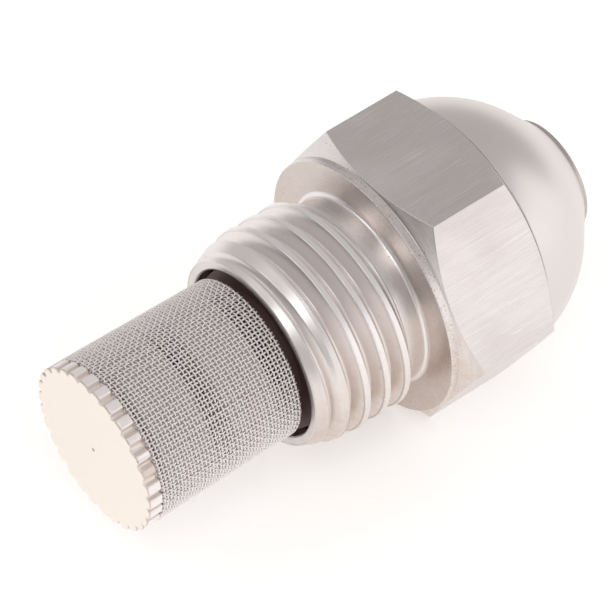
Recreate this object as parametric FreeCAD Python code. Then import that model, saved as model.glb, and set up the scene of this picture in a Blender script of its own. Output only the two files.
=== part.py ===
import FreeCAD, Part
import math
import os

# Oil burner pressure-jet nozzle with a screw-in strainer, lying on one flat of its hexagon.
# Row frame: +X along the nozzle axis towards the spray orifice, +Z out of the upper hexagon flat,
# origin on the axis at the middle of the overall length. Millimetres.
# Stations S_* are measured along the axis from the rear face of the strainer's end cap.

# ---------------------------------------------------------------- driving dimensions
LENGTH = 34.44            # overall length, end cap face to orifice insert face

# hexagon
AF = 17.0                 # across flats
S_FLANGE = 19.83          # rear seating face of the hexagon
R_FLANGE = 8.42           # rim of the seating face
S_RIM = 20.40             # end of the short rim, start of the 30 degree chamfer
S_HEX_END = 27.30         # end of the front 30 degree chamfer
R_HEX_END = 8.43
TAN30 = math.tan(math.radians(30.0))

# dome
S_DOME_C = 26.19          # centre of the spherical dome
R_DOME = 8.43
S_LIP = 34.06             # lip around the orifice insert, reached by a cone tangent to the dome
R_LIP = 3.83
GROOVE_D = 0.10           # fine turned line where dome and chamfer meet
GROOVE_W = 0.09

# external thread M14 x 1.5, right-handed
THREAD_R = 7.0
THREAD_PITCH = 1.5
THREAD_DEPTH = 0.86
CREST_LAND = 0.34
THREAD_PHASE = 13.22      # station of a groove centre on the +Y side
S_REAR = 11.52            # rear face of the body
R_REAR = 6.16             # outer edge of the rear face
S_LEAD_A = 13.00          # the lead-in cone flattens here
R_LEAD_A = 6.76
S_LEAD_B = 14.30          # end of the lead-in cone
S_THREAD_END = 17.92      # last full crest
S_NECK = 18.42            # start of the undercut in front of the seat
R_NECK = 6.12
NECK_FILLET = 0.25

# bore of the body, rear to front: (station where the step starts, radius)
R_RECESS = 5.55           # recess around the strainer flange
BORE_CHAMFER = 0.10
S_SHOULDER = 13.20        # washer seat
S_CHAMBER = 16.40         # end of the strainer's thread
R_CHAMBER = 4.80          # fuel chamber
S_LOCK_BORE = 22.95       # start of the lock screw's thread
S_SMOOTH = 26.40
R_SMOOTH = 4.28           # smooth bore for the insert
S_STEP = 31.50            # step that holds the insert
R_NOSE_BORE = 3.79

# orifice insert
R_INSERT = 4.25
R_NOSE = 3.76             # boss that stands out of the dome, with a rounded edge
S_INSERT_REAR = 29.30
CONE_R0 = 3.35            # mouth of the 90 degree swirl cone
SWIRL_R = 0.80            # swirl chamber
ORIFICE_R = 0.50
S_THROAT = 33.10
S_EXIT = 33.90
EXIT_R = 1.10

# swirl distributor
CONE_GAP = 0.06           # axial gap between the two cones
R_DIST = 3.20
S_DIST_REAR = 25.95
N_SLOTS = 4
SLOT_W = 0.45
SLOT_D = 0.40
SLOT_OFFSET = 0.85

# M9 x 0.75 threads, right-handed, of the lock screw and the strainer
R_M9 = 4.50
PITCH_M9 = 0.75
DEPTH_M9 = 0.38
LAND_M9 = 0.16
THREAD_GAP = 0.05         # radial clearance between the screws' crests and their bore
PHASE_M9 = 13.10          # station of a groove centre of the screws on the +Y side

# lock screw
S_LOCK_REAR = 22.40
LOCK_BORE = 1.40
LOCK_SLOT_W = 1.00
LOCK_SLOT_D = 1.20
LOCK_NOTCH = 0.70

# strainer adapter
S_SPIGOT_A = 10.50        # spigot that carries the front end of the screen
S_SPIGOT_B = 10.95
R_SPIGOT = 5.00
R_WAIST = 4.20
S_FLANGE_A = 12.05        # flange that presses on the washer
R_FLANGE_A = 5.30
S_WASHER = 12.60
S_STUB_END = 16.20
R_ADAPTER_BORE = 2.00
S_SOCKET_END = 12.30

# perforated core tube
R_TUBE = 3.40
R_TUBE_BORE = 2.00
S_TUBE_A = 0.35           # rear end, inside the cap's socket
PORT_R = 0.55
N_PORTS = 4
FIT = 0.02                # radial clearance of the pieces fixed to each other

# sealing washer
R_WASHER_O = 5.42
R_WASHER_I = 4.68

# support sleeves
R_SLEEVE_O = 5.00
SLEEVE_LEN = 3.40
S_SLEEVE_A = 1.64
S_SLEEVE_B = 6.32

# woven screen, a slightly tapered tube
S_SCREEN_A = 0.96
S_SCREEN_B = 11.12
R_SCREEN_A = 5.40
R_SCREEN_B = 5.25
SCREEN_T = 0.22

# knurled end cap
S_CAP = 0.95
CAP_TIP = 5.40
CAP_ROOT = 5.08
N_TEETH = 30
CAP_BEVEL = 0.12
R_CAP_SPIGOT = 5.12
S_CAP_SPIGOT = 1.14

X0 = LENGTH / 2.0
OVER = 0.25               # how far thread blanks stand above the crests before they are cut
BASE = FreeCAD.Vector(0, 0, 0)
AXIS = FreeCAD.Vector(0, 0, 1)


# ---------------------------------------------------------------- helpers (built along local Z = station)
def V(x, y, z):
    return FreeCAD.Vector(x, y, z)


def revolve(points):
    """Solid of revolution about the axis from (station, radius) points."""
    pts = [V(r, 0, s) for s, r in points]
    pts.append(pts[0])
    face = Part.Face(Part.makePolygon(pts))
    return face.revolve(BASE, AXIS, 360)


def tube(s0, s1, ro, ri):
    return revolve([(s0, ri), (s0, ro), (s1, ro), (s1, ri)])


def rod(s0, s1, r):
    return Part.makeCylinder(r, s1 - s0, V(0, 0, s0), AXIS)


def thread_slices(r_major, depth, pitch, land, s0, s1, phase):
    """Right-handed threaded rod with 60 degree flanks, as half-turn slices from s0 to beyond s1.

    Each slice is the thread's cross-section, swept along the axis and twisted by a helix.
    phase is the station of a groove centre on local x."""
    h = pitch / 2.0
    w_top = pitch - land
    w_root = w_top - 2 * depth * TAN30
    a_top = math.pi * w_top / pitch
    a_root = math.pi * w_root / pitch
    r_root = r_major - depth

    def pt(a, r):
        return V(r * math.cos(a), r * math.sin(a), 0)

    def flank(a0, r0, a1, r1):
        curve = Part.BSplineCurve()
        curve.interpolate([pt(a0 + (a1 - a0) * i / 8.0, r0 + (r1 - r0) * i / 8.0) for i in range(9)])
        return curve.toShape()

    section = Part.Wire([
        Part.Arc(pt(-a_root, r_root), pt(0, r_root), pt(a_root, r_root)).toShape(),
        flank(a_root, r_root, a_top, r_major),
        Part.Arc(pt(a_top, r_major), pt(math.pi, r_major), pt(-a_top, r_major)).toShape(),
        flank(-a_top, r_major, -a_root, r_root),
    ])
    sweep = Part.BRepOffsetAPI.MakePipeShell(Part.Wire([Part.makeLine(V(0, 0, 0), V(0, 0, h))]))
    sweep.setAuxiliarySpine(Part.makeHelix(pitch, h, r_major), False, 0)
    sweep.add(section)
    sweep.build()
    sweep.makeSolid()
    base = sweep.shape()
    if base.Volume < 0:
        base.reverse()
    slices = []
    for k in range(int(math.ceil((s1 - s0) / h))):
        s = s0 + k * h
        piece = base.copy()
        piece.rotate(BASE, AXIS, 360.0 * (s - phase) / pitch)
        piece.translate(V(0, 0, s))
        slices.append(piece)
    return slices


def threaded(r_major, depth, pitch, land, s0, s1, phase, envelope):
    """The part of the threaded rod that lies inside the envelope, as one solid."""
    cut = [piece.common(envelope) for piece in thread_slices(r_major, depth, pitch, land, s0, s1, phase)]
    cut = [c.Solids[0] for c in cut if c.Solids and c.Volume > 1e-3]
    whole = cut[0]
    for c in cut[1:]:
        whole = whole.fuse(c)
    print("thread: %d slices, %d solid, %.3f of %.3f mm3" % (len(cut), len(whole.Solids), whole.Volume, sum(c.Volume for c in cut)))
    return whole


def place(shape):
    """Local (x, y, station) to the row frame (X = station - X0, Y = x, Z = y)."""
    out = shape.copy()
    out.translate(V(0, 0, -X0))
    m = FreeCAD.Matrix(0, 0, 1, 0,
                       1, 0, 0, 0,
                       0, 1, 0, 0,
                       0, 0, 0, 1)
    out.transformShape(m)
    return out


def save(name, shape):
    solid = place(shape)
    n = len(solid.Solids)
    ok = solid.isValid()
    if n == 1:
        solid = solid.Solids[0]
    print("%-22s solids %d valid %s volume %.3f" % (name, n, ok, solid.Volume))
    solid.exportStep("parts/%s.step" % name)
    return solid


os.makedirs("parts", exist_ok=True)

# ---------------------------------------------------------------- nozzle body
RC = AF / math.sqrt(3.0)
R_BIG = RC + 0.10

shank = revolve([
    (S_REAR, 0.0),
    (S_REAR, R_REAR),
    (S_LEAD_A, R_LEAD_A),
    (S_LEAD_B, THREAD_R),
    (S_LEAD_B, THREAD_R + OVER),
    (S_THREAD_END - OVER * (S_NECK - S_THREAD_END) / (THREAD_R - R_NECK), THREAD_R + OVER),
    (S_NECK, R_NECK),
    (S_FLANGE - NECK_FILLET, R_NECK),
    (S_FLANGE - 0.5 * NECK_FILLET, R_NECK + 0.14 * NECK_FILLET),
    (S_FLANGE - 0.14 * NECK_FILLET, R_NECK + 0.5 * NECK_FILLET),
    (S_FLANGE, R_NECK + NECK_FILLET),
    (S_FLANGE + 0.3, R_NECK + NECK_FILLET),
    (S_FLANGE + 0.3, 0.0),
])
s_cut = S_NECK + 0.2
rear = shank.common(rod(S_REAR - 1, s_cut, THREAD_R + 1.0))
blank = threaded(THREAD_R, THREAD_DEPTH, THREAD_PITCH, CREST_LAND, S_REAR - 0.3, s_cut, THREAD_PHASE, rear)
shank = shank.common(rod(s_cut, S_FLANGE + 0.3, THREAD_R + 1.0)).fuse(blank)

hexagon = Part.makePolygon([V(RC * math.cos(math.radians(60 * k)), RC * math.sin(math.radians(60 * k)), S_FLANGE)
                            for k in range(7)])
prism = Part.Face(hexagon).extrude(V(0, 0, S_HEX_END - S_FLANGE))
envelope = revolve([
    (S_FLANGE, 0.0),
    (S_FLANGE, R_FLANGE - 0.06),
    (S_FLANGE + 0.06, R_FLANGE),
    (S_RIM, R_FLANGE),
    (S_RIM + (R_BIG - R_FLANGE) * TAN30, R_BIG),
    (S_HEX_END - (R_BIG - R_HEX_END) * TAN30, R_BIG),
    (S_HEX_END, R_HEX_END),
    (S_HEX_END, 0.0),
])
hex_block = prism.common(envelope)

# spherical dome with the fine turned line at its foot and a conical lip at its tip
s_foot = S_HEX_END + GROOVE_W
a0 = math.acos((s_foot - S_DOME_C) / R_DOME)
lip_far = math.hypot(S_LIP - S_DOME_C, R_LIP)
a1 = math.atan2(R_LIP, S_LIP - S_DOME_C) + math.acos(R_DOME / lip_far)
arc = Part.Arc(V(R_DOME * math.sin(a0), 0, S_DOME_C + R_DOME * math.cos(a0)),
               V(R_DOME * math.sin((a0 + a1) / 2), 0, S_DOME_C + R_DOME * math.cos((a0 + a1) / 2)),
               V(R_DOME * math.sin(a1), 0, S_DOME_C + R_DOME * math.cos(a1))).toShape()
r_foot = R_DOME * math.sin(a0)
z_top = S_DOME_C + R_DOME * math.cos(a1)
edges = [
    Part.makeLine(V(0, 0, S_HEX_END - 0.5), V(r_foot - GROOVE_D, 0, S_HEX_END - 0.5)),
    Part.makeLine(V(r_foot - GROOVE_D, 0, S_HEX_END - 0.5), V(r_foot - GROOVE_D, 0, s_foot)),
    Part.makeLine(V(r_foot - GROOVE_D, 0, s_foot), V(r_foot, 0, s_foot)),
    arc,
    Part.makeLine(V(R_DOME * math.sin(a1), 0, z_top), V(R_LIP, 0, S_LIP)),
    Part.makeLine(V(R_LIP, 0, S_LIP), V(0, 0, S_LIP)),
    Part.makeLine(V(0, 0, S_LIP), V(0, 0, S_HEX_END - 0.5)),
]
dome = Part.Face(Part.Wire(edges)).revolve(BASE, AXIS, 360)

# the tapped lengths are plain, at the major diameter of the thread
r_tapped = R_M9 + THREAD_GAP
bore = revolve([
    (S_REAR - 1.0, 0.0),
    (S_REAR - 1.0, R_RECESS + BORE_CHAMFER + 1.0),
    (S_REAR + BORE_CHAMFER, R_RECESS),
    (S_SHOULDER, R_RECESS),
    (S_SHOULDER, r_tapped + 0.12),
    (S_SHOULDER + 0.12, r_tapped),
    (S_CHAMBER, r_tapped),
    (S_CHAMBER + 0.15, R_CHAMBER),
    (S_LOCK_BORE - 0.15, R_CHAMBER),
    (S_LOCK_BORE, r_tapped),
    (S_SMOOTH, r_tapped),
    (S_SMOOTH, R_SMOOTH),
    (S_STEP, R_SMOOTH),
    (S_STEP, R_NOSE_BORE),
    (LENGTH + 1.0, R_NOSE_BORE),
    (LENGTH + 1.0, 0.0),
])

body = shank.fuse([hex_block, dome]).removeSplitter()
body = body.cut(bore)
save("nozzle_body", body)

# ---------------------------------------------------------------- orifice insert
s_cone_end = S_INSERT_REAR + (CONE_R0 - SWIRL_R)
insert_outer = revolve([
    (S_INSERT_REAR, 0.0),
    (S_INSERT_REAR, R_INSERT - 0.15),
    (S_INSERT_REAR + 0.15, R_INSERT),
    (S_STEP, R_INSERT),
    (S_STEP, R_NOSE),
    (LENGTH - 0.14, R_NOSE),
    (LENGTH - 0.056, R_NOSE - 0.05),
    (LENGTH, R_NOSE - 0.155),
    (LENGTH, 0.0),
])
insert_bore = revolve([
    (S_INSERT_REAR - 0.5, 0.0),
    (S_INSERT_REAR - 0.5, CONE_R0 + 0.5),
    (s_cone_end, SWIRL_R),
    (S_THROAT - 0.35, SWIRL_R),
    (S_THROAT, ORIFICE_R),
    (S_EXIT, ORIFICE_R),
    (LENGTH + 0.001, EXIT_R),
    (LENGTH + 0.5, EXIT_R),
    (LENGTH + 0.5, 0.0),
])
save("orifice_insert", insert_outer.cut(insert_bore))

# ---------------------------------------------------------------- swirl distributor
s_c0 = S_INSERT_REAR + (CONE_R0 - R_DIST) - CONE_GAP      # foot of its 90 degree cone
s_c1 = s_cone_end - CONE_GAP - 0.35                       # flat at its nose
r_c1 = SWIRL_R + 0.35
dist = revolve([
    (S_DIST_REAR, 0.0),
    (S_DIST_REAR, R_DIST - 0.2),
    (S_DIST_REAR + 0.2, R_DIST),
    (s_c0, R_DIST),
    (s_c1, r_c1),
    (s_c1, 0.0),
])
for k in range(N_SLOTS):
    # slot floor parallel to the cone, tangential to the swirl chamber
    box = Part.makeBox(SLOT_W, 2.4, 6.0, V(SLOT_OFFSET - SLOT_W / 2, 0.0, -3.0))
    box.translate(V(0, -SLOT_D, 0))
    box.rotate(V(0, 0, 0), V(1, 0, 0), 45.0)
    box.translate(V(0, (R_DIST + r_c1) / 2, (s_c0 + s_c1) / 2))
    box.rotate(V(0, 0, 0), AXIS, 360.0 * k / N_SLOTS)
    dist = dist.cut(box)
save("swirl_distributor", dist)

# ---------------------------------------------------------------- lock screw
lock = revolve([
    (S_LOCK_REAR, LOCK_BORE),
    (S_LOCK_REAR, R_M9 - 0.30),
    (S_LOCK_REAR + 0.30 + OVER, R_M9 + OVER),
    (S_DIST_REAR - 0.30 - OVER, R_M9 + OVER),
    (S_DIST_REAR, R_M9 - 0.30),
    (S_DIST_REAR, LOCK_BORE),
])
lock = threaded(R_M9, DEPTH_M9, PITCH_M9, LAND_M9, S_LOCK_REAR - 0.2, S_DIST_REAR + 0.1, PHASE_M9, lock)
lock = lock.cut(Part.makeBox(12, LOCK_SLOT_W, LOCK_SLOT_D, V(-6, -LOCK_SLOT_W / 2, S_LOCK_REAR)))
for k in range(2):
    notch = Part.makeBox(12, LOCK_NOTCH, LOCK_NOTCH, V(-6, -LOCK_NOTCH / 2, S_DIST_REAR - LOCK_NOTCH))
    notch.rotate(V(0, 0, 0), AXIS, 45.0 + 90.0 * k)
    lock = lock.cut(notch)
save("lock_screw", lock)

# ---------------------------------------------------------------- strainer adapter and core tube
r_m9_root = R_M9 - DEPTH_M9
adapter = revolve([
    (S_SPIGOT_A, 0.0),
    (S_SPIGOT_A, R_SPIGOT),
    (S_SPIGOT_B, R_SPIGOT),
    (S_SPIGOT_B, R_WAIST),
    (S_FLANGE_A, R_WAIST),
    (S_FLANGE_A, R_FLANGE_A),
    (S_WASHER, R_FLANGE_A),
    (S_WASHER, r_m9_root - 0.03),
    (S_WASHER + 0.62, r_m9_root - 0.03),
    (S_WASHER + 1.03 + OVER, R_M9 + OVER),
    (S_STUB_END - 0.42 - OVER, R_M9 + OVER),
    (S_STUB_END, r_m9_root - 0.04),
    (S_STUB_END, 0.0),
])
front = adapter.common(rod(S_WASHER + 0.40, S_STUB_END + 1, 8.0))
stub = threaded(R_M9, DEPTH_M9, PITCH_M9, LAND_M9, S_WASHER + 0.35, S_STUB_END + 0.1, PHASE_M9, front)
adapter = adapter.common(rod(S_SPIGOT_A - 1, S_WASHER + 0.40, 8.0)).fuse(stub).removeSplitter()
adapter = adapter.cut(rod(S_SPIGOT_A - 1, S_SOCKET_END, R_TUBE + FIT))
adapter = adapter.cut(rod(S_SPIGOT_A - 1, S_STUB_END + 1, R_ADAPTER_BORE))
save("strainer_adapter", adapter)

core = tube(S_TUBE_A, S_SOCKET_END, R_TUBE, R_TUBE_BORE)
for s_port, turn in (((S_SLEEVE_A + SLEEVE_LEN + S_SLEEVE_B) / 2, 0.0),
                     ((S_SLEEVE_B + SLEEVE_LEN + S_SPIGOT_A) / 2, 45.0)):
    for k in range(N_PORTS):
        a = math.radians(turn + 360.0 * k / N_PORTS)
        port_r = min(PORT_R, 0.36) if turn else PORT_R
        core = core.cut(Part.makeCylinder(port_r, 6.0, V(0, 0, s_port), V(math.cos(a), math.sin(a), 0)))
save("core_tube", core)

# ---------------------------------------------------------------- washer, sleeves, screen
save("sealing_washer", tube(S_WASHER, S_SHOULDER, R_WASHER_O, R_WASHER_I))


def sleeve(s0):
    return revolve([
        (s0, R_TUBE + FIT),
        (s0, R_SLEEVE_O - 0.12),
        (s0 + 0.12, R_SLEEVE_O),
        (s0 + SLEEVE_LEN - 0.12, R_SLEEVE_O),
        (s0 + SLEEVE_LEN, R_SLEEVE_O - 0.12),
        (s0 + SLEEVE_LEN, R_TUBE + FIT),
    ])


save("rear_support_sleeve", sleeve(S_SLEEVE_A))
save("front_support_sleeve", sleeve(S_SLEEVE_B))

save("mesh_screen", revolve([
    (S_SCREEN_A, R_SCREEN_A - SCREEN_T),
    (S_SCREEN_A, R_SCREEN_A),
    (S_SCREEN_B, R_SCREEN_B),
    (S_SCREEN_B, R_SCREEN_B - SCREEN_T),
]))

# ---------------------------------------------------------------- knurled end cap
outline = []
step = 360.0 / N_TEETH
for k in range(N_TEETH):
    for da, r in ((-0.46, CAP_ROOT), (-0.27, CAP_TIP), (0.27, CAP_TIP), (0.46, CAP_ROOT)):
        a = math.radians(step * (k + da))
        outline.append(V(r * math.cos(a), r * math.sin(a), 0))
outline.append(outline[0])
cap = Part.Face(Part.makePolygon(outline)).extrude(V(0, 0, S_CAP))
cap = cap.common(revolve([
    (0.0, 0.0),
    (0.0, CAP_TIP - CAP_BEVEL),
    (CAP_BEVEL, CAP_TIP),
    (S_CAP - 0.05, CAP_TIP),
    (S_CAP, CAP_TIP - 0.05),
    (S_CAP, 0.0),
]))
cap = cap.fuse(rod(S_CAP - 0.2, S_CAP_SPIGOT, R_CAP_SPIGOT)).removeSplitter()
cap = cap.cut(rod(S_TUBE_A, S_CAP_SPIGOT + 1.0, R_TUBE + FIT))
save("knurled_end_cap", cap)
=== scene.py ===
import bpy
import bmesh
import math
import random
from mathutils import Matrix, Vector, noise


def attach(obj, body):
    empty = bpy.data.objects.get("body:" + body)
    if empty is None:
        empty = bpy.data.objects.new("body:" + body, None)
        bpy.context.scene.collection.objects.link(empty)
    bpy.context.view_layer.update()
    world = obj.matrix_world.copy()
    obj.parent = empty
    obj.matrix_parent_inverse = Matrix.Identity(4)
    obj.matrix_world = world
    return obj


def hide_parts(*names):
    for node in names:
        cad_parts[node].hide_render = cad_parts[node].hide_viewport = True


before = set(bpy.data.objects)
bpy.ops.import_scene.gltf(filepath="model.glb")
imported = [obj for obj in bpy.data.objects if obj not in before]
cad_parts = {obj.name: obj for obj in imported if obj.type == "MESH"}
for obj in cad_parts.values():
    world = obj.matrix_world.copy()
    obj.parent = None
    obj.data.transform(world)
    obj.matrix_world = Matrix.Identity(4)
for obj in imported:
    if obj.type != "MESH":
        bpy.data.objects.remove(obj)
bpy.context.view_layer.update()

MM = 0.001
X0 = 17.22                      # stations are counted from the end cap's rear face; the frame's origin is mid-length

AF = 17.0
RC = AF / math.sqrt(3.0)
TAN30 = math.tan(math.radians(30.0))


# ------------------------------------------------------------------ small helpers
def new_mesh(name, verts, faces, smooth=True):
    me = bpy.data.meshes.new(name)
    me.from_pydata(verts, [], faces)
    me.update()
    if smooth:
        me.polygons.foreach_set("use_smooth", [True] * len(me.polygons))
    ob = bpy.data.objects.new(name, me)
    bpy.context.scene.collection.objects.link(ob)
    return ob


def pos(s, r, a):
    """Station, radius (mm) and angle (0 = +Y, 90 = +Z) to the row frame in metres."""
    return ((s - X0) * MM, r * math.cos(a) * MM, r * math.sin(a) * MM)


def ring_grid(name, rows, angles, closed_tube=False, cap_ends=False, attr=None):
    """rows: list of functions angle -> (s, r, tag). Consecutive rings are joined by quads."""
    verts = []
    tags = []
    for row in rows:
        for a in angles:
            s, r, t = row(a)
            verts.append(pos(s, r, a))
            tags.append(t)
    n = len(angles)
    faces = []
    m = len(rows)
    last = m if closed_tube else m - 1
    for i in range(last):
        b0 = i * n
        b1 = ((i + 1) % m) * n
        for j in range(n):
            k = (j + 1) % n
            faces.append((b0 + j, b1 + j, b1 + k, b0 + k))
    ob = new_mesh(name, verts, faces)
    if attr:
        layer = ob.data.attributes.new(attr, "FLOAT", "POINT")
        layer.data.foreach_set("value", tags)
    return ob


def smoothstep(x):
    x = min(1.0, max(0.0, x))
    return x * x * (3 - 2 * x)


def smin(a, b, k):
    """Smooth minimum: rounds the edge where two surfaces meet, over a width k."""
    h = max(k - abs(a - b), 0.0) / k
    return min(a, b) - h * h * k * 0.25


def smax(a, b, k):
    return -smin(-a, -b, k)


# ------------------------------------------------------------------ nozzle body
PITCH, DEPTH, LAND, R_T, PHASE = 1.5, 0.86, 0.34, 7.0, 13.22
M9_PITCH, M9_DEPTH, M9_R, M9_PHASE, GAP = 0.75, 0.38, 4.5, 13.10, 0.05


def lerp_profile(points, s):
    for (s0, r0), (s1, r1) in zip(points, points[1:]):
        if s <= s1:
            return r0 + (r1 - r0) * (s - s0) / (s1 - s0)
    return points[-1][1]


SHANK = [(11.52, 6.16), (13.0, 6.76), (14.3, 7.0), (17.92, 7.0), (18.42, 6.12), (19.6, 6.12)]


def groove_r(s, a, r_major, depth, pitch, land, phase, k):
    u = s - phase - pitch * a / (2 * math.pi)
    u = abs((u + pitch / 2) % pitch - pitch / 2)
    w_top = pitch - land
    w_root = w_top - 2 * depth * TAN30
    flank = (r_major - depth) + (u - w_root / 2) / TAN30
    return smin(smax(r_major - depth, flank, k), r_major, k)


def shank_r(s, a):
    env = lerp_profile(SHANK, s)
    return smin(env, groove_r(s, a, R_T, DEPTH, PITCH, LAND, PHASE, 0.03), 0.03)


def female_r(s, a):
    """Wall of the tapped bore."""
    r = groove_r(s, a, M9_R + GAP, M9_DEPTH, M9_PITCH, 0.2177, M9_PHASE, 0.04)
    return r


def flat_r(a):
    d = (math.degrees(a) - 30.0) % 60.0
    d = d - 60.0 if d > 30.0 else d
    return (AF / 2) / math.cos(math.radians(d))


ANGLES = []
for k in range(480):
    ANGLES.append(math.radians(0.75 * k))
for k in range(6):
    for d in (-0.35, -0.15, 0.15, 0.35):
        ANGLES.append(math.radians((60.0 * k + d) % 360.0))
ANGLES = sorted(ANGLES)


def build_body():
    rows = []
    const = lambda s, r, t: rows.append(lambda a, s=s, r=r, t=t: (s, r, t))
    # rear face of the mouth, outer edge first
    const(11.535, 6.10, 0.2)
    const(11.52, 6.13, 0.2)
    s = 11.535
    while s < 18.44:
        rows.append(lambda a, s=s: (s, shank_r(s, a), 0.3))
        s += 0.0265
    for s in (18.46, 18.5, 18.8, 19.2, 19.56):
        const(s, 6.12, 0.4)
    for q in range(1, 7):
        b = math.radians(15.0 * q)
        const(19.57 + 0.25 * math.sin(b), 6.12 + 0.25 * (1 - math.cos(b)), 0.4)
    for r in (6.45, 6.7, 7.2, 7.8, 8.2, 8.33, 8.37):
        const(19.83, r, 0.5)
    for q in range(1, 5):
        b = math.radians(90 * q / 4.0)
        const(19.88 - 0.05 * math.cos(b), 8.37 + 0.05 * math.sin(b), 0.55)
    for s in (19.95, 20.1, 20.3, 20.37):
        const(s, 8.42, 0.6)
    s_rim, r_rim = 20.40, 8.42

    def rear(a, t):
        f = flat_r(a)
        return s_rim + t * (f - r_rim) * TAN30, r_rim + t * (f - r_rim)

    for t in (0.0, 0.05, 0.2, 0.4, 0.6, 0.8, 0.95, 1.0):
        rows.append(lambda a, t=t: (*rear(a, t), 0.7))

    def flat(a, t):
        f = flat_r(a)
        sa = s_rim + (f - r_rim) * TAN30
        sb = 27.30 - (f - 8.43) * TAN30
        return sa + t * (sb - sa), f

    for t in (0.005, 0.02, 0.1, 0.3, 0.5, 0.7, 0.9, 0.98, 0.995):
        rows.append(lambda a, t=t: (*flat(a, t), 1.0))

    def front(a, t):
        f = flat_r(a)
        sb = 27.30 - (f - 8.43) * TAN30
        return sb + t * (27.30 - sb), f + t * (8.43 - f)

    for t in (0.0, 0.05, 0.2, 0.4, 0.6, 0.8, 0.95, 1.0):
        rows.append(lambda a, t=t: (*front(a, t), 0.7))
    r_foot = math.sqrt(8.43 ** 2 - 1.20 ** 2)
    const(27.303, 8.40, 0.75)
    const(27.305, r_foot - 0.10, 0.75)
    const(27.345, r_foot - 0.11, 0.75)
    const(27.385, r_foot - 0.10, 0.75)
    const(27.388, r_foot - 0.02, 0.8)
    a_foot = math.acos(1.20 / 8.43)
    a_tip = math.atan2(3.83, 34.06 - 26.19) + math.acos(8.43 / math.hypot(34.06 - 26.19, 3.83))
    for q in range(61):
        b = a_foot + (a_tip - a_foot) * q / 60.0
        if q == 0:
            b = a_foot - 0.002
        const(26.19 + 8.43 * math.cos(b), 8.43 * math.sin(b), 0.8)
    s_t, r_t = 26.19 + 8.43 * math.cos(a_tip), 8.43 * math.sin(a_tip)
    for q in range(1, 21):
        w = q / 20.0 * 0.985
        const(s_t + w * (34.06 - s_t), r_t + w * (3.83 - r_t), 0.8)
    const(34.056, 3.828, 0.8)
    const(34.06, 3.82, 0.85)
    const(34.06, 3.80, 0.85)
    const(34.05, 3.79, 0.85)
    const(34.00, 3.79, 0.85)
    # inside, front to rear
    for s, r in ((32.6, 3.79), (31.53, 3.79), (31.5, 3.81), (31.5, 4.25), (31.47, 4.28), (30.0, 4.28), (26.5, 4.28), (26.41, 4.28)):
        const(s, r, 0.0)
    s = 26.40
    while s > 22.95:
        rows.append(lambda a, s=s: (s, max(4.30, female_r(s, a)), 0.0))
        s -= 0.045
    for s, r in ((22.93, 4.45), (22.62, 4.79), (22.58, 4.8), (19.0, 4.8), (16.42, 4.8), (16.40, 4.78), (16.25, 4.45)):
        const(s, r, 0.0)
    s = 16.22
    while s > 13.40:
        rows.append(lambda a, s=s: (s, max(4.30, female_r(s, a)), 0.0))
        s -= 0.045
    for s, r in ((13.36, 4.40), (13.22, 4.60), (13.20, 4.64), (13.20, 5.0), (13.20, 5.50), (13.18, 5.54), (13.15, 5.55), (12.5, 5.55), (11.9, 5.55),
                 (11.84, 5.55), (11.66, 5.55)):
        const(s, r, 0.1)
    for s, r in ((11.655, 5.55), (11.63, 5.555), (11.61, 5.565), (11.545, 5.63), (11.543, 5.632), (11.525, 5.66), (11.52, 5.69), (11.52, 5.85), (11.52, 6.0), (11.52, 6.10)):
        const(s, r, 0.2)
    return ring_grid("body_visual", rows, ANGLES, closed_tube=True, attr="zone")


body = build_body()
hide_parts("nozzle_body")
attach(body, "nozzle")


# ------------------------------------------------------------------ orifice insert: the boss and everything behind it
def revolve(name, profile, n=360):
    rows = [lambda a, s=s, r=r: (s, r, 0.0) for s, r in profile]
    angles = [2 * math.pi * k / n for k in range(n)]
    return ring_grid(name, rows, angles, closed_tube=True)


def soften(profile, rad=0.04, steps=3):
    """Rounds every corner of a closed (s, r) profile."""
    out = []
    n = len(profile)
    for i in range(n):
        p0 = Vector(profile[i - 1]); p1 = Vector(profile[i]); p2 = Vector(profile[(i + 1) % n])
        d0 = p0 - p1; d2 = p2 - p1
        k = min(rad, d0.length * 0.45, d2.length * 0.45)
        a = p1 + d0.normalized() * k
        b = p1 + d2.normalized() * k
        out.append(tuple(p1 + d0.normalized() * min(k * 1.8, d0.length * 0.48)))
        for q in range(steps + 1):
            t = q / steps
            p = a * (1 - t) ** 2 + p1 * 2 * t * (1 - t) + b * t * t
            out.append((p.x, p.y))
        out.append(tuple(p1 + d2.normalized() * min(k * 1.8, d2.length * 0.48)))
    return out


insert = revolve("insert_visual", soften([
    (29.30, 3.35), (29.30, 4.10), (29.45, 4.25), (31.50, 4.25), (31.50, 3.76), (34.30, 3.76), (34.384, 3.71), (34.44, 3.605),
    (34.44, 1.12), (33.90, 0.50), (33.10, 0.50), (32.75, 0.80), (31.85, 0.80)], 0.03))
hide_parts("orifice_insert")
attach(insert, "nozzle")


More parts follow.
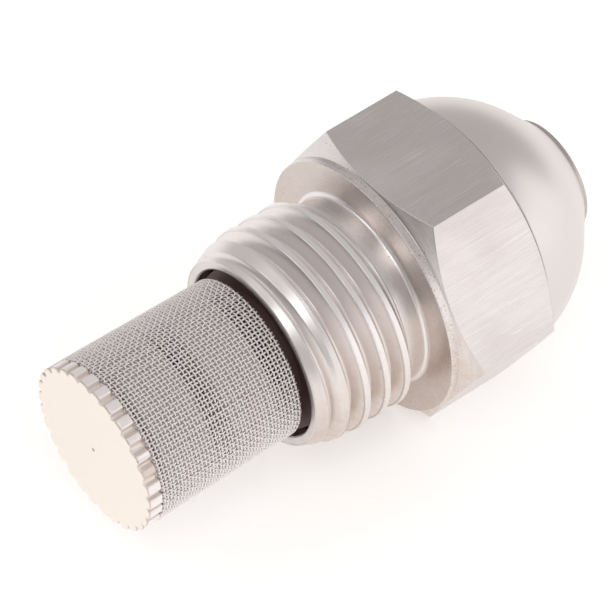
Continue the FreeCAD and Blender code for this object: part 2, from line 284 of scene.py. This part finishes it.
# ------------------------------------------------------------------ woven wire cloth of the strainer
def tube_mesh(verts, faces, path, radial, wire_r, sides, closed):
    """Appends a swept round wire; path and radial are lists of Vectors in mm (already in x, y, z)."""
    n = len(path)
    base = len(verts)
    for i in range(n):
        p = path[i]
        if closed:
            t = path[(i + 1) % n] - path[i - 1]
        else:
            t = path[min(i + 1, n - 1)] - path[max(i - 1, 0)]
        t.normalize()
        u = radial[i] - t * radial[i].dot(t)
        u.normalize()
        v = t.cross(u)
        for j in range(sides):
            b = 2 * math.pi * j / sides
            q = p + (u * math.cos(b) + v * math.sin(b)) * wire_r
            verts.append((q.x * MM, q.y * MM, q.z * MM))
    m = n if closed else n - 1
    for i in range(m):
        b0 = base + i * sides
        b1 = base + ((i + 1) % n) * sides
        for j in range(sides):
            k = (j + 1) % sides
            faces.append((b0 + j, b0 + k, b1 + k, b1 + j))
    if not closed:
        faces.append(tuple(base + j for j in reversed(range(sides))))
        faces.append(tuple(base + (n - 1) * sides + j for j in range(sides)))


N_AX = 126
WIRE = 0.060
S_A, S_B = 0.985, 11.17
HOOP0, HOOP_P = 1.10, 0.2547
N_HOOP = 40


def screen_r(s):
    """Mid surface of the cloth."""
    t = (s - 0.96) / (11.12 - 0.96)
    return (5.40 - 0.112) + t * (5.25 - 5.40)


def build_screen():
    rnd = random.Random(41)
    verts, faces = [], []
    amp = WIRE * 0.98
    # wires along the axis
    for k in range(N_AX):
        a0 = 2 * math.pi * k / N_AX
        jit = rnd.uniform(-0.10, 0.10) * 2 * math.pi / N_AX
        bend = rnd.uniform(-0.12, 0.12) * 2 * math.pi / N_AX
        end = S_B + rnd.uniform(-0.03, 0.02)
        path, rad = [], []
        n = int((end - S_A) / HOOP_P * 5)
        sign = 1 if k % 2 == 0 else -1
        for i in range(n + 1):
            s = S_A + (end - S_A) * i / n
            ph = math.pi * (s - HOOP0) / HOOP_P
            a = a0 + jit + bend * math.sin(s * 0.7 + k)
            r = screen_r(s) + sign * amp * math.cos(ph)
            path.append(Vector((s - X0, r * math.cos(a), r * math.sin(a))))
            rad.append(Vector((0, math.cos(a), math.sin(a))))
        tube_mesh(verts, faces, path, rad, WIRE, 6, False)
    # hoops
    for h in range(N_HOOP):
        s0 = HOOP0 + HOOP_P * h
        ds = rnd.uniform(-0.012, 0.012)
        p1, p2 = rnd.uniform(0, 6.28), rnd.uniform(0, 6.28)
        path, rad = [], []
        n = N_AX * 4
        sign = -1 if h % 2 == 0 else 1
        for i in range(n):
            a = 2 * math.pi * i / n
            s = s0 + ds + 0.012 * math.sin(3 * a + p1) + 0.008 * math.sin(7 * a + p2)
            r = screen_r(s) + sign * amp * math.cos(N_AX * a / 2.0 * 1.0)
            path.append(Vector((s - X0, r * math.cos(a), r * math.sin(a))))
            rad.append(Vector((0, math.cos(a), math.sin(a))))
        tube_mesh(verts, faces, path, rad, WIRE, 6, True)
    return new_mesh("screen_wires", verts, faces)


screen = build_screen()
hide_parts("mesh_screen")
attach(screen, "strainer")


# ------------------------------------------------------------------ knurled end cap
def build_cap():
    rnd = random.Random(7)
    n_teeth = 30
    step = 2 * math.pi / n_teeth
    prof = []          # (angle, radius) outline, one turn
    r_tip, r_root = 5.395, 5.09
    for k in range(n_teeth):
        c = step * k + rnd.uniform(-0.05, 0.05) * step
        w = 0.28 + rnd.uniform(-0.04, 0.03)
        tip = r_tip - rnd.uniform(0.0, 0.04)
        if 122.0 < math.degrees(c) < 162.0:          # a few teeth are worn
            w -= 0.05 + rnd.uniform(0.0, 0.03)
            tip -= 0.02 + rnd.uniform(0.0, 0.06)
        root = r_root + rnd.uniform(-0.02, 0.02)
        shape = [(-0.5, root), (-0.44, root), (-0.40, root + 0.02), (-w - 0.02, tip - 0.05), (-w + 0.02, tip - 0.015), (-w + 0.06, tip), (-0.12, tip + 0.003),
                 (0.0, tip + 0.004), (0.12, tip + 0.003), (w - 0.06, tip), (w - 0.02, tip - 0.015), (w + 0.02, tip - 0.05), (0.40, root + 0.02), (0.44, root)]
        for d, r in shape:
            prof.append((c + d * step, min(r, 5.40)))
    prof.sort()
    n = len(prof)

    def ring(s, shrink, blend):
        out = []
        for a, r in prof:
            rr = min(r, 5.40) - shrink
            rr = blend * (r_root - 0.12 - shrink) + (1 - blend) * rr
            out.append((s, rr, a))
        return out

    rings = []
    for s, rr in ((0.05, 0.001), (0.048, 0.04), (0.03, 0.07), (0.004, 0.10), (0.0, 0.12)):
        rings.append([(s, rr, a) for a, r in prof])
    for rr in (0.2, 0.5, 1.2, 2.4, 3.4, 4.2, 4.7):
        rings.append([(0.0, rr, a) for a, r in prof])
    rings.append(ring(0.0, 0.10, 0.25))
    rings.append(ring(0.005, 0.06, 0.0))
    rings.append(ring(0.03, 0.02, 0.0))
    rings.append(ring(0.07, 0.0, 0.0))
    for s in (0.3, 0.6, 0.85):
        rings.append(ring(s, 0.0, 0.0))
    rings.append(ring(0.92, 0.012, 0.0))
    rings.append(ring(0.95, 0.05, 0.0))
    rings.append([(0.95, 5.10, a) for a, r in prof])
    for s, rr in ((1.0, 5.09), (1.12, 5.09), (1.14, 5.07), (1.14, 4.4), (1.14, 3.44), (1.12, 3.42), (0.37, 3.42), (0.35, 3.40), (0.35, 2.0), (0.35, 0.001)):
        rings.append([(s, rr, a) for a, r in prof])
    verts = [pos(s, r, a) for ring_ in rings for s, r, a in ring_]
    faces = []
    for i in range(len(rings) - 1):
        for j in range(n):
            k = (j + 1) % n
            faces.append((i * n + j, (i + 1) * n + j, (i + 1) * n + k, i * n + k))
    ob = new_mesh("end_cap_visual", verts, faces)
    bm = bmesh.new()
    bm.from_mesh(ob.data)
    bmesh.ops.remove_doubles(bm, verts=bm.verts, dist=2.0e-6)
    bmesh.ops.recalc_face_normals(bm, faces=bm.faces)
    bm.to_mesh(ob.data)
    bm.free()
    return ob


cap = build_cap()
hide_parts("knurled_end_cap")
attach(cap, "strainer")

for ob in (body, insert, screen):
    bm = bmesh.new()
    bm.from_mesh(ob.data)
    bmesh.ops.recalc_face_normals(bm, faces=bm.faces)
    bm.to_mesh(ob.data)
    bm.free()


# ------------------------------------------------------------------ materials
def material(name):
    m = bpy.data.materials.new(name)
    m.use_nodes = True
    nt = m.node_tree
    nt.nodes.clear()
    out = nt.nodes.new("ShaderNodeOutputMaterial")
    b = nt.nodes.new("ShaderNodeBsdfPrincipled")
    nt.links.new(b.outputs[0], out.inputs[0])
    return m, nt, b


def node(nt, kind, **values):
    n = nt.nodes.new(kind)
    for k, v in values.items():
        if k in n.inputs:
            n.inputs[k].default_value = v
        else:
            setattr(n, k, v)
    return n


def coords(nt, scale):
    """Object position in millimetres, times a stretch."""
    tc = nt.nodes.new("ShaderNodeTexCoord")
    mp = nt.nodes.new("ShaderNodeMapping")
    mp.inputs["Scale"].default_value = [1000.0 * v for v in scale]
    nt.links.new(tc.outputs["Object"], mp.inputs["Vector"])
    return mp.outputs[0]


def noise_tex(nt, scale, detail=3.0, stretch=(1, 1, 1), rough=0.55):
    n = nt.nodes.new("ShaderNodeTexNoise")
    n.inputs["Scale"].default_value = scale
    n.inputs["Detail"].default_value = detail
    n.inputs["Roughness"].default_value = rough
    nt.links.new(coords(nt, stretch), n.inputs["Vector"])
    return n.outputs["Fac"]


def ramp(nt, fac, stops):
    r = nt.nodes.new("ShaderNodeValToRGB")
    r.color_ramp.elements[0].position, r.color_ramp.elements[0].color = stops[0][0], (*stops[0][1], 1)
    r.color_ramp.elements[1].position, r.color_ramp.elements[1].color = stops[1][0], (*stops[1][1], 1)
    for p, c in stops[2:]:
        e = r.color_ramp.elements.new(p)
        e.color = (*c, 1)
    nt.links.new(fac, r.inputs["Fac"])
    return r.outputs["Color"]


def maprange(nt, fac, a, b, c, d):
    m = nt.nodes.new("ShaderNodeMapRange")
    for k, v in zip(("From Min", "From Max", "To Min", "To Max"), (a, b, c, d)):
        m.inputs[k].default_value = v
    nt.links.new(fac, m.inputs["Value"])
    return m.outputs["Result"]


def mathn(nt, op, a, b):
    m = nt.nodes.new("ShaderNodeMath")
    m.operation = op
    for i, v in enumerate((a, b)):
        if isinstance(v, (int, float)):
            m.inputs[i].default_value = v
        else:
            nt.links.new(v, m.inputs[i])
    return m.outputs[0]


def mix_color(nt, fac, a, b, blend="MIX"):
    m = nt.nodes.new("ShaderNodeMix")
    m.data_type = "RGBA"
    m.blend_type = blend
    if isinstance(fac, (int, float)):
        m.inputs[0].default_value = fac
    else:
        nt.links.new(fac, m.inputs[0])
    for i, v in ((6, a), (7, b)):
        if isinstance(v, tuple):
            m.inputs[i].default_value = (*v, 1)
        else:
            nt.links.new(v, m.inputs[i])
    return m.outputs[2]


def bump(nt, b, height, strength, dist):
    n = nt.nodes.new("ShaderNodeBump")
    n.inputs["Strength"].default_value = strength
    n.inputs["Distance"].default_value = dist
    nt.links.new(height, n.inputs["Height"])
    nt.links.new(n.outputs[0], b.inputs["Normal"])
    return n


def radius_mm(nt):
    """Distance from the nozzle's axis, in millimetres."""
    sep = nt.nodes.new("ShaderNodeSeparateXYZ")
    nt.links.new(coords(nt, (1, 1, 1)), sep.inputs[0])
    y2 = mathn(nt, "MULTIPLY", sep.outputs[1], sep.outputs[1])
    z2 = mathn(nt, "MULTIPLY", sep.outputs[2], sep.outputs[2])
    return mathn(nt, "POWER", mathn(nt, "ADD", y2, z2), 0.5), sep


def specks(nt, scale, low, high, stretch=(1, 1, 1)):
    """Small scattered spots: 1 inside a spot, 0 outside."""
    return maprange(nt, noise_tex(nt, scale, 2.0, stretch, 0.5), low, high, 0.0, 1.0)


def band(nt, value, lo, hi):
    return mathn(nt, "MULTIPLY", mathn(nt, "GREATER_THAN", value, lo), mathn(nt, "LESS_THAN", value, hi))


def turned_steel(name, tone, rough=0.3):
    m, nt, b = material(name)
    zone = nt.nodes.new("ShaderNodeAttribute")
    zone.attribute_name = "zone"
    z = zone.outputs["Fac"]
    is_flat = mathn(nt, "GREATER_THAN", z, 0.93)
    is_dome = band(nt, z, 0.78, 0.93)
    is_turned = band(nt, z, 0.15, 0.78)
    rings = noise_tex(nt, 14.0, 4.0, (1.0, 0.02, 0.02))
    fine = noise_tex(nt, 45.0, 2.0, (1.0, 0.03, 0.03))
    draws = noise_tex(nt, 20.0, 4.0, (0.012, 1.0, 1.0))
    draws2 = noise_tex(nt, 55.0, 2.0, (0.02, 1.0, 1.0))
    satin = noise_tex(nt, 30.0, 2.0)
    cloud = noise_tex(nt, 0.45, 3.0)
    blotch = noise_tex(nt, 1.6, 3.0)

    def part(mask, value, gain):
        return mathn(nt, "MULTIPLY", mask, mathn(nt, "MULTIPLY", mathn(nt, "SUBTRACT", value, 0.5), gain))

    lines = mathn(nt, "ADD", part(is_turned, rings, 0.65), part(is_turned, fine, 0.35))
    lines = mathn(nt, "ADD", lines, mathn(nt, "ADD", part(is_flat, draws, 0.85), part(is_flat, draws2, 0.4)))
    lines = mathn(nt, "ADD", lines, part(is_dome, satin, 0.22))
    lines = mathn(nt, "ADD", lines, 0.5)
    c0 = tuple(v * 0.88 for v in tone)
    c1 = tuple(min(1.0, v * 1.07) for v in tone)
    col = ramp(nt, maprange(nt, lines, 0.35, 0.65, 0.0, 1.0), [(0.0, c0), (1.0, c1)])
    warm = tuple(v * w for v, w in zip(tone, (0.97, 0.92, 0.88)))
    col = mix_color(nt, maprange(nt, cloud, 0.4, 0.7, 0.0, 0.22), col, warm)
    broad = noise_tex(nt, 0.16, 2.0)
    col = mix_color(nt, mathn(nt, "MULTIPLY", is_flat, maprange(nt, broad, 0.42, 0.60, 0.30, 0.0)), col, tuple(v * w for v, w in zip(tone, (0.70, 0.66, 0.65))))
    scratch = mathn(nt, "MULTIPLY", is_flat, specks(nt, 13.0, 0.66, 0.70, (0.03, 1.0, 1.0)))
    col = mix_color(nt, mathn(nt, "MULTIPLY", scratch, 0.45), col, (0.95, 0.93, 0.925))
    # thread, undercut and seat: warmer and darker in blotchy patches that grow towards the underside; partly oil
    # stain, partly painted shade with a painted warm floor reflection below
    sep = nt.nodes.new("ShaderNodeSeparateXYZ")
    nt.links.new(coords(nt, (1, 1, 1)), sep.inputs[0])
    under = maprange(nt, sep.outputs[2], 5.0, -1.0, 0.12, 1.0)
    stain_and_underside_shade = mathn(nt, "MULTIPLY", mathn(nt, "MULTIPLY", band(nt, z, 0.25, 0.72), maprange(nt, blotch, 0.42, 0.62, 0.25, 0.85)), under)
    col = mix_color(nt, stain_and_underside_shade, col, tuple(v * w for v, w in zip(tone, (0.93, 0.82, 0.72))))
    # pits on the turned faces behind the hexagon and burrs on the collar and the first crest
    pits = mathn(nt, "MULTIPLY", band(nt, z, 0.25, 0.72), specks(nt, 7.0, 0.70, 0.74))
    col = mix_color(nt, mathn(nt, "MULTIPLY", pits, 0.75), col, (0.16, 0.12, 0.10))
    rim = mathn(nt, "MULTIPLY", band(nt, z, 0.52, 0.62), specks(nt, 8.0, 0.62, 0.66))
    col = mix_color(nt, mathn(nt, "MULTIPLY", rim, 0.55), col, (0.26, 0.20, 0.17))
    # painted shade: darker in the groove at the dome's foot
    foot = band(nt, z, 0.73, 0.78)
    col = mix_color(nt, mathn(nt, "MULTIPLY", foot, 0.5), col, (0.34, 0.30, 0.29))
    # painted shade in the thread's grooves, darker and browner towards the root; painted highlight on the crests with
    # a fine painted dark line along them; small burrs along their edges
    r2, _ = radius_mm(nt)
    thread = band(nt, z, 0.25, 0.35)
    col = mix_color(nt, mathn(nt, "MULTIPLY", thread, maprange(nt, r2, 6.75, 6.30, 0.0, 0.32)), col, tuple(v * w for v, w in zip(tone, (0.84, 0.77, 0.71))))
    col = mix_color(nt, mathn(nt, "MULTIPLY", thread, maprange(nt, r2, 6.88, 6.96, 0.0, 0.38)), col, (0.92, 0.88, 0.875))
    col = mix_color(nt, mathn(nt, "MULTIPLY", thread, mathn(nt, "MULTIPLY", band(nt, r2, 6.84, 6.93), 0.5)), col, (0.30, 0.25, 0.235))
    burr = mathn(nt, "MULTIPLY", mathn(nt, "MULTIPLY", band(nt, z, 0.25, 0.62), maprange(nt, r2, 6.86, 6.92, 0.0, 1.0)), specks(nt, 9.0, 0.64, 0.67))
    col = mix_color(nt, mathn(nt, "MULTIPLY", burr, 0.8), col, (0.97, 0.95, 0.94))
    # painted highlight: the plain neck behind the thread lighter
    col = mix_color(nt, mathn(nt, "MULTIPLY", band(nt, z, 0.36, 0.45), 0.5), col, (0.95, 0.92, 0.91))
    # painted shade with some stain: the seat face between thread and hexagon darker and browner
    col = mix_color(nt, mathn(nt, "MULTIPLY", band(nt, z, 0.47, 0.53), 0.45), col, tuple(v * w for v, w in zip(tone, (0.68, 0.59, 0.53))))
    # painted light: the thread's upper side lighter
    painted_upper_light = mathn(nt, "MULTIPLY", thread, mathn(nt, "SUBTRACT", 1.0, under))
    col = mix_color(nt, mathn(nt, "MULTIPLY", painted_upper_light, 0.7), col, (0.94, 0.90, 0.89))
    # painted shade: the bore's inner walls darker brown
    inside = mathn(nt, "LESS_THAN", z, 0.15)
    col = mix_color(nt, mathn(nt, "MULTIPLY", inside, 0.65), col, (0.20, 0.15, 0.13))
    nt.links.new(col, b.inputs["Base Color"])
    b.inputs["Metallic"].default_value = 1.0
    r = maprange(nt, lines, 0.3, 0.7, rough * 0.8, rough * 1.25)
    r = mathn(nt, "ADD", r, mathn(nt, "MULTIPLY", is_dome, 0.05))
    r = mathn(nt, "ADD", r, mathn(nt, "MULTIPLY", band(nt, z, 0.15, 0.35), 0.04))
    nt.links.new(mathn(nt, "ADD", r, mathn(nt, "MULTIPLY", pits, 0.3)), b.inputs["Roughness"])
    height = mathn(nt, "SUBTRACT", lines, mathn(nt, "MULTIPLY", mathn(nt, "ADD", pits, rim), 0.5))
    height = mathn(nt, "ADD", height, mathn(nt, "MULTIPLY", burr, 0.8))
    bump(nt, b, height, 0.30, 0.00001)
    return m


def plain_metal(name, tone, rough, bump_d=0.000006, stretch=(1, 1, 1), scale=8.0, depth=0.15, metallic=1.0):
    m, nt, b = material(name)
    n1 = noise_tex(nt, scale, 4.0, stretch)
    n2 = noise_tex(nt, 0.9, 2.0)
    col = ramp(nt, maprange(nt, n1, 0.3, 0.7, 0.0, 1.0), [(0.0, tuple(v * (1 - depth) for v in tone)), (1.0, tuple(min(1, v * (1 + depth / 2)) for v in tone))])
    col = mix_color(nt, maprange(nt, n2, 0.45, 0.75, 0.0, 0.3), col, tuple(v * w for v, w in zip(tone, (0.95, 0.88, 0.82))))
    nt.links.new(col, b.inputs["Base Color"])
    b.inputs["Metallic"].default_value = metallic
    nt.links.new(maprange(nt, n1, 0.3, 0.7, rough * 0.85, rough * 1.15), b.inputs["Roughness"])
    bump(nt, b, n1, 0.4, bump_d)
    return m


def cap_metal(name):
    """Smooth cream face, bright tooth faces; painted shade as tan in the valleys between the teeth and brown on the
    tooth flanks and along the tooth edges at the face.
    """
    m, nt, b = material(name)
    rad, sep = radius_mm(nt)
    n1 = noise_tex(nt, 5.0, 3.0)
    face = ramp(nt, maprange(nt, n1, 0.3, 0.7, 0.0, 1.0), [(0.0, (0.905, 0.838, 0.772)), (1.0, (0.922, 0.86, 0.80))])
    tooth = ramp(nt, maprange(nt, noise_tex(nt, 9.0, 3.0), 0.3, 0.7, 0.0, 1.0), [(0.0, (0.93, 0.865, 0.85)), (1.0, (0.97, 0.925, 0.92))])
    side = mathn(nt, "GREATER_THAN", sep.outputs[0], -17.17)
    col = mix_color(nt, side, face, tooth)
    # painted shade: tan on the valley floor between the teeth
    valley = mathn(nt, "MULTIPLY", side, maprange(nt, rad, 5.12, 5.16, 1.0, 0.0))
    col = mix_color(nt, mathn(nt, "MULTIPLY", valley, 0.7), col, (0.86, 0.77, 0.70))
    # painted shade: brown on the tooth flanks
    flank = mathn(nt, "MULTIPLY", side, band(nt, rad, 5.13, 5.30))
    col = mix_color(nt, mathn(nt, "MULTIPLY", flank, 0.6), col, (0.62, 0.48, 0.40))
    # painted shade: brown outline along the tooth edges at the face
    edge = mathn(nt, "MULTIPLY", maprange(nt, rad, 5.24, 5.32, 0.0, 1.0), band(nt, sep.outputs[0], -17.21, -17.12))
    col = mix_color(nt, mathn(nt, "MULTIPLY", edge, 0.55), col, (0.60, 0.46, 0.37))
    mark = maprange(nt, rad, 0.09, 0.15, 1.0, 0.0)
    col = mix_color(nt, mathn(nt, "MULTIPLY", mark, 0.8), col, (0.30, 0.22, 0.17))
    nt.links.new(col, b.inputs["Base Color"])
    nt.links.new(mathn(nt, "SUBTRACT", 1.0, mathn(nt, "MULTIPLY", side, 0.6)), b.inputs["Metallic"])
    nt.links.new(mathn(nt, "SUBTRACT", 0.42, mathn(nt, "MULTIPLY", side, 0.07)), b.inputs["Roughness"])
    bump(nt, b, n1, 0.2, 0.000002)
    return m


def mesh_metal(name):
    m, nt, b = material(name)
    n1 = noise_tex(nt, 12.0, 3.0)
    n2 = noise_tex(nt, 0.8, 2.0)
    col = ramp(nt, maprange(nt, n1, 0.3, 0.7, 0.0, 1.0), [(0.0, (0.86, 0.81, 0.80)), (1.0, (0.95, 0.91, 0.905))])
    col = mix_color(nt, maprange(nt, n2, 0.45, 0.75, 0.0, 0.35), col, (0.90, 0.84, 0.81))
    nt.links.new(col, b.inputs["Base Color"])
    b.inputs["Metallic"].default_value = 0.6
    nt.links.new(maprange(nt, n1, 0.3, 0.7, 0.38, 0.50), b.inputs["Roughness"])
    bump(nt, b, n1, 0.2, 0.000003)
    return m


def assign(ob, mat):
    if ob.data.materials:
        for i in range(len(ob.data.materials)):
            ob.data.materials[i] = mat
    else:
        ob.data.materials.append(mat)


steel = turned_steel("body_steel", (0.75, 0.71, 0.70), 0.30)
assign(body, steel)
assign(insert, plain_metal("insert_steel", (0.55, 0.50, 0.475), 0.34, stretch=(1.0, 0.05, 0.05), scale=12.0))
assign(screen, mesh_metal("mesh_wire"))
assign(cap, cap_metal("cap_metal"))
brass = plain_metal("brass_turned", (0.80, 0.62, 0.36), 0.32, stretch=(1.0, 0.05, 0.05), scale=12.0)
sleeve_m = plain_metal("sleeve_turned", (0.86, 0.81, 0.80), 0.55, stretch=(1.0, 0.05, 0.05), scale=12.0, depth=0.08, metallic=0.25)
copper = plain_metal("copper_soft", (0.80, 0.50, 0.36), 0.4)
dark = plain_metal("blackened_steel", (0.21, 0.135, 0.12), 0.55, stretch=(1.0, 0.05, 0.05), scale=12.0, depth=0.3, metallic=0.5)
core_m = plain_metal("core_tube_steel", (0.34, 0.29, 0.275), 0.45, stretch=(1.0, 0.05, 0.05), scale=12.0)
dist_m = plain_metal("distributor_steel", (0.58, 0.55, 0.52), 0.3, stretch=(1.0, 0.05, 0.05), scale=12.0)
for n, mat in (("swirl_distributor", dist_m), ("lock_screw", brass), ("sealing_washer", copper), ("strainer_adapter", dark),
               ("core_tube", core_m), ("rear_support_sleeve", sleeve_m), ("front_support_sleeve", sleeve_m)):
    assign(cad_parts[n], mat)


# ------------------------------------------------------------------ floor, light, camera
def plane(name, size, loc, mat):
    h = size / 2
    ob = new_mesh(name, [(loc[0] - h, loc[1] - h, loc[2]), (loc[0] + h, loc[1] - h, loc[2]), (loc[0] + h, loc[1] + h, loc[2]), (loc[0] - h, loc[1] + h, loc[2])],
                  [(0, 1, 2, 3)], smooth=False)
    ob.data.materials.append(mat)
    return ob


floor_m, nt, b = material("floor_white")
nt.links.new(ramp(nt, noise_tex(nt, 0.02, 2.0), [(0.0, (0.90, 0.895, 0.885)), (1.0, (0.93, 0.925, 0.92))]), b.inputs["Base Color"])
b.inputs["Roughness"].default_value = 0.85
b.inputs["Emission Color"].default_value = (1.0, 0.985, 0.965, 1)
b.inputs["Emission Strength"].default_value = 0.43
floor = plane("floor", 1.2, (0, 0, -0.0085 - 0.00002), floor_m)


def area(name, loc, target, size, power, color=(1, 1, 1), size_y=None):
    ld = bpy.data.lights.new(name, "AREA")
    ld.energy = power
    ld.color = color
    ld.shape = "RECTANGLE"
    ld.size = size
    ld.size_y = size_y or size
    ob = bpy.data.objects.new(name, ld)
    bpy.context.scene.collection.objects.link(ob)
    ob.location = loc
    ob.rotation_euler = (Vector(target) - Vector(loc)).to_track_quat("-Z", "Y").to_euler()
    return ob


def soft_box(name, direction, distance, width, height, radiance, color=(1, 1, 1)):
    """A rectangular light of that radiance, facing the part from that direction."""
    d = Vector(direction).normalized() * distance
    return area(name, tuple(d), (0, 0, 0), width, radiance * math.pi * width * height, color, height)


soft_box("front_right", (0.38, -0.90, 0.20), 0.42, 0.36, 0.24, 0.62, (1.0, 0.965, 0.96))
soft_box("right", (0.86, -0.42, 0.30), 0.42, 0.30, 0.28, 0.64, (1.0, 0.985, 0.985))
soft_box("rear_left", (-0.60, 0.40, 0.75), 0.46, 0.20, 0.20, 1.2, (1.0, 0.985, 0.975))
soft_box("over", (-0.30, -0.40, 1.0), 0.50, 0.20, 0.22, 2.0, (1.0, 0.985, 0.975))

# soft surround, darker towards the strainer's end near the horizon
world = bpy.data.worlds.new("studio")
bpy.context.scene.world = world
world.use_nodes = True
wt = world.node_tree
bg = wt.nodes["Background"]
tc = wt.nodes.new("ShaderNodeTexCoord")
sep = wt.nodes.new("ShaderNodeSeparateXYZ")
wt.links.new(tc.outputs["Generated"], sep.inputs[0])
dark = mathn(wt, "MULTIPLY", maprange(wt, sep.outputs[0], -0.35, -0.85, 0.0, 1.0), maprange(wt, sep.outputs[2], 0.55, 0.20, 0.0, 1.0))
wt.links.new(mix_color(wt, dark, (1.0, 0.98, 0.97), (0.12, 0.11, 0.108)), bg.inputs[0])
bg.inputs[1].default_value = 0.57

cam_d = bpy.data.cameras.new("camera")
cam_d.sensor_width = 36.0
cam_d.sensor_fit = "HORIZONTAL"
cam_d.lens = 247.06
cam_d.clip_start = 0.005
cam_d.clip_end = 10.0
cam = bpy.data.objects.new("camera", cam_d)
bpy.context.scene.collection.objects.link(cam)
xc = (0.782567, -0.622445, -0.012426)
yc = (0.473506, 0.582123, 0.661007)
zc = (-0.404204, -0.523166, 0.750282)
cl = (-0.10136, -0.12916, 0.18653)
cam.matrix_world = Matrix((
    (xc[0], yc[0], zc[0], cl[0]),
    (xc[1], yc[1], zc[1], cl[1]),
    (xc[2], yc[2], zc[2], cl[2]),
    (0, 0, 0, 1)))
bpy.context.scene.camera = cam
bpy.context.scene.view_settings.view_transform = "Standard"
